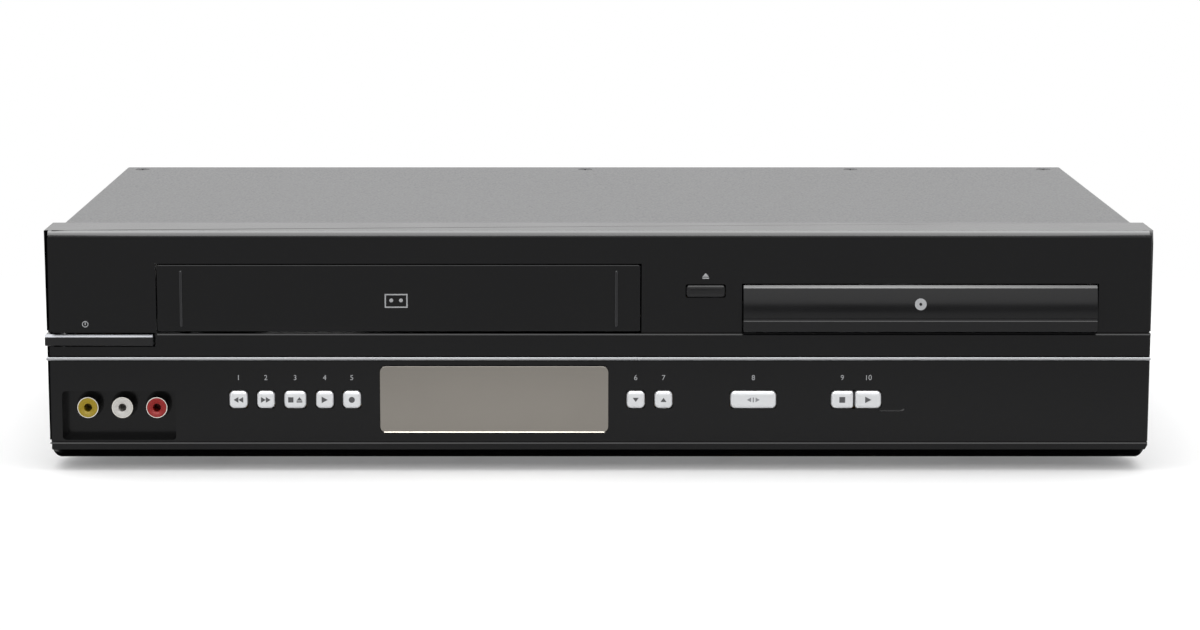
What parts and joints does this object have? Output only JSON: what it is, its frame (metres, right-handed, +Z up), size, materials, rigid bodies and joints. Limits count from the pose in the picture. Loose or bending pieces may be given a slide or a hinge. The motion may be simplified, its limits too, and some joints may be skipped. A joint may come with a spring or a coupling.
{
  "type": "dvd player",
  "caption": "Low black cabinet with a hinged cassette door, a sliding disc tray, push keys, front and rear sockets, a display window and both working mechanisms inside.",
  "frame": {"origin": "centre of the cabinet's outline, on the table below the feet", "axes": "+X to the right as seen from the front, +Y towards the rear sockets, +Z up"},
  "size_m": [0.435, 0.2424, 0.0955],
  "materials": {
    "cover_paint": "satin black paint",
    "case_black": "satin black moulding",
    "trim_silver": "satin chrome",
    "window_tint": "mirror-tinted clear moulding",
    "door_black": "satin black moulding",
    "spring_steel": "drawn wire",
    "tray_plastic": "matt",
    "standby_metal": "satin silver lacquer",
    "key_black": "satin",
    "key_silver": "satin silver lacquer",
    "jack_yellow": "satin",
    "jack_white": "satin",
    "jack_red": "satin",
    "plated_metal": "nickel plating",
    "zinc_steel": "zinc-coated sheet",
    "foot_rubber": "matt",
    "board_black": "matt",
    "tin_plate": "tin plate",
    "screw_black": "black oxide",
    "board_laminate": "phenolic laminate",
    "core_steel": "varnished laminations",
    "display_dark": "dark glass face",
    "drum_alloy": "turned",
    "ground_steel": "ground",
    "roller_rubber": "ground rubber",
    "reel_plastic": "satin",
    "gear_plastic": "natural acetal",
    "motor_steel": "drawn can",
    "frame_black": "matt",
    "belt_rubber": "smooth"
  },
  "bodies": {
    "cabinet": {"top_cover": "cover_paint", "front_bezel": "case_black", "silver_trim": "trim_silver", "display_window": "window_tint", "door_spring": "spring_steel", "front_jack_yellow": "jack_yellow", "front_jack_white": "jack_white", "front_jack_red": "jack_red", "jack_shells": "plated_metal", "chassis_pan": "zinc_steel", "feet": "foot_rubber", "rear_panel": "zinc_steel", "rear_jack_block": "board_black", "tuner_box": "tin_plate", "cord_bushing": "board_black", "case_screws": "screw_black", "main_board": "board_laminate", "power_transformer": "core_steel", "display_module": "display_dark", "front_board": "board_laminate", "deck_plate": "zinc_steel", "lower_drum": "drum_alloy", "tape_heads": "plated_metal", "motor_cans": "motor_steel", "holder_rails": "zinc_steel", "loader_frame": "frame_black", "drive_belts": "belt_rubber"},
    "tray": {"disc_tray": "tray_plastic", "tray_front": "door_black"},
    "door": {"cassette_door": "door_black"},
    "tray_gear": {"tray_gear": "gear_plastic"},
    "tray_pulley": {"tray_pulley": "gear_plastic"},
    "holder": {"cassette_holder": "zinc_steel"},
    "slides": {"holder_slides": "reel_plastic"},
    "upper_drum": {"upper_drum": "drum_alloy"},
    "capstan": {"capstan": "ground_steel"},
    "reel_idler": {"reel_idler": "gear_plastic"},
    "supply_reel": {"supply_reel": "reel_plastic"},
    "take_up_reel": {"take_up_reel": "reel_plastic"},
    "pinch_arm": {"pinch_arm": "ground_steel"},
    "pinch_roller": {"pinch_roller": "roller_rubber"},
    "cam_gear": {"cam_gear": "gear_plastic"},
    "loading_pinion": {"loading_pinion": "gear_plastic"},
    "traverse": {"traverse": "motor_steel"},
    "turntable": {"turntable": "frame_black"},
    "pickup": {"pickup": "frame_black"},
    "sled_gear": {"sled_gear": "gear_plastic"},
    "clamper": {"clamper": "gear_plastic"},
    "open_close_button": {"open_close_button": "key_black"},
    "rewind_button": {"rewind_button": "key_silver"},
    "fast_forward_button": {"fast_forward_button": "key_silver"},
    "stop_eject_button": {"stop_eject_button": "key_silver"},
    "play_button": {"play_button": "key_silver"},
    "record_button": {"record_button": "key_silver"},
    "tracking_down_button": {"tracking_down_button": "key_silver"},
    "tracking_up_button": {"tracking_up_button": "key_silver"},
    "source_button": {"source_button": "key_silver"},
    "disc_stop_button": {"disc_stop_button": "key_silver"},
    "disc_play_button": {"disc_play_button": "key_silver"},
    "standby_button": {"standby_button": "standby_metal"}
  },
  "joints": [
    {"name": "tray_slide", "type": "slide", "parent": "cabinet", "child": "tray", "axis": [0, -1, 0], "range_m": [0, 0.14]},
    {"name": "tray_gear_spin", "type": "hinge", "parent": "cabinet", "child": "tray_gear", "pos_m": [0.07635, -0.091, 0.0624], "axis": [0, 0, 1], "range_deg": [-10, 900]},
    {"name": "tray_pulley_spin", "type": "hinge", "parent": "cabinet", "child": "tray_pulley", "pos_m": [0.10835, -0.091, 0.0564], "axis": [0, 0, 1], "range_deg": [-30, 2700]},
    {"name": "door_hinge", "type": "hinge", "parent": "cabinet", "child": "door", "pos_m": [-0.0785, -0.1135, 0.0902], "axis": [1, 0, 0], "range_deg": [0, 90], "stiffness_Nm_per_rad": 0.012, "springref_deg": -28.65, "deforming": ["door_spring"]},
    {"name": "open_close_press", "type": "slide", "parent": "cabinet", "child": "open_close_button", "axis": [0, 1, 0], "range_m": [0, 0.0008], "stiffness_N_per_m": 800},
    {"name": "rewind_press", "type": "slide", "parent": "cabinet", "child": "rewind_button", "axis": [0, 1, 0], "range_m": [0, 0.0008], "stiffness_N_per_m": 800},
    {"name": "fast_forward_press", "type": "slide", "parent": "cabinet", "child": "fast_forward_button", "axis": [0, 1, 0], "range_m": [0, 0.0008], "stiffness_N_per_m": 800},
    {"name": "stop_eject_press", "type": "slide", "parent": "cabinet", "child": "stop_eject_button", "axis": [0, 1, 0], "range_m": [0, 0.0008], "stiffness_N_per_m": 800},
    {"name": "play_press", "type": "slide", "parent": "cabinet", "child": "play_button", "axis": [0, 1, 0], "range_m": [0, 0.0008], "stiffness_N_per_m": 800},
    {"name": "record_press", "type": "slide", "parent": "cabinet", "child": "record_button", "axis": [0, 1, 0], "range_m": [0, 0.0008], "stiffness_N_per_m": 800},
    {"name": "tracking_down_press", "type": "slide", "parent": "cabinet", "child": "tracking_down_button", "axis": [0, 1, 0], "range_m": [0, 0.0008], "stiffness_N_per_m": 800},
    {"name": "tracking_up_press", "type": "slide", "parent": "cabinet", "child": "tracking_up_button", "axis": [0, 1, 0], "range_m": [0, 0.0008], "stiffness_N_per_m": 800},
    {"name": "source_press", "type": "slide", "parent": "cabinet", "child": "source_button", "axis": [0, 1, 0], "range_m": [0, 0.0008], "stiffness_N_per_m": 800},
    {"name": "disc_stop_press", "type": "slide", "parent": "cabinet", "child": "disc_stop_button", "axis": [0, 1, 0], "range_m": [0, 0.0008], "stiffness_N_per_m": 800},
    {"name": "disc_play_press", "type": "slide", "parent": "cabinet", "child": "disc_play_button", "axis": [0, 1, 0], "range_m": [0, 0.0008], "stiffness_N_per_m": 800},
    {"name": "standby_press", "type": "slide", "parent": "cabinet", "child": "standby_button", "axis": [0, 1, 0], "range_m": [0, 0.001], "stiffness_N_per_m": 800},
    {"name": "holder_travel", "type": "slide", "parent": "cabinet", "child": "slides", "axis": [0, 1, 0], "range_m": [-0.07, 0]},
    {"name": "holder_drop", "type": "slide", "parent": "slides", "child": "holder", "axis": [0, 0, -1], "range_m": [0, 0.014]},
    {"name": "drum_spin", "type": "hinge", "parent": "cabinet", "child": "upper_drum", "pos_m": [-0.0785, 0.072, 0.0332], "axis": [0.104, 0, 0.9946], "continuous": true},
    {"name": "capstan_spin", "type": "hinge", "parent": "cabinet", "child": "capstan", "pos_m": [-0.0265, 0.044, 0.04], "axis": [0, 0, 1], "continuous": true},
    {"name": "idler_spin", "type": "hinge", "parent": "cabinet", "child": "reel_idler", "pos_m": [-0.0785, -0.023, 0.03], "axis": [0, 0, 1], "continuous": true},
    {"name": "supply_reel_spin", "type": "hinge", "parent": "cabinet", "child": "supply_reel", "pos_m": [-0.1245, -0.023, 0.04], "axis": [0, 0, 1], "continuous": true},
    {"name": "take_up_reel_spin", "type": "hinge", "parent": "cabinet", "child": "take_up_reel", "pos_m": [-0.0325, -0.023, 0.04], "axis": [0, 0, 1], "continuous": true},
    {"name": "pinch_arm_swing", "type": "hinge", "parent": "cabinet", "child": "pinch_arm", "pos_m": [-0.0045, 0.038, 0.038], "axis": [0, 0, -1], "range_deg": [0, 24]},
    {"name": "pinch_roller_spin", "type": "hinge", "parent": "pinch_arm", "child": "pinch_roller", "pos_m": [-0.02376, 0.02718, 0.05], "axis": [0, 0, 1], "continuous": true},
    {"name": "cam_spin", "type": "hinge", "parent": "cabinet", "child": "cam_gear", "pos_m": [-0.1445, 0.076, 0.049], "axis": [0, 0, 1], "range_deg": [0, 300]},
    {"name": "pinion_spin", "type": "hinge", "parent": "cabinet", "child": "loading_pinion", "pos_m": [-0.1445, 0.0512, 0.049], "axis": [0, 0, 1], "range_deg": [-1080, 20]},
    {"name": "traverse_lift", "type": "hinge", "parent": "cabinet", "child": "traverse", "pos_m": [0.12635, 0.042, 0.0553], "axis": [-1, 0, 0], "range_deg": [0, 4.41]},
    {"name": "turntable_spin", "type": "hinge", "parent": "traverse", "child": "turntable", "pos_m": [0.12635, -0.04961, 0.05977], "axis": [0, -0.0769, 0.997], "continuous": true},
    {"name": "pickup_travel", "type": "slide", "parent": "traverse", "child": "pickup", "axis": [0, 0.997, 0.0769], "range_m": [0, 0.032]},
    {"name": "sled_gear_spin", "type": "hinge", "parent": "traverse", "child": "sled_gear", "pos_m": [0.16285, -0.00817, 0.05554], "axis": [0, -0.0769, 0.997], "range_deg": [-360, 10]},
    {"name": "clamper_spin", "type": "hinge", "parent": "cabinet", "child": "clamper", "pos_m": [0.12635, -0.049, 0.0717], "axis": [0, 0, 1], "continuous": true}
  ],
  "couplings": [
    {"joint": "tray_gear_spin", "follows": "tray_slide", "rad_per_m": 100},
    {"joint": "tray_pulley_spin", "follows": "tray_slide", "rad_per_m": 300},
    {"joint": "idler_spin", "follows": "capstan_spin", "ratio": 0.58333},
    {"joint": "pinion_spin", "follows": "cam_spin", "ratio": -3.4286},
    {"joint": "sled_gear_spin", "follows": "pickup_travel", "rad_per_m": -166.67}
  ]
}
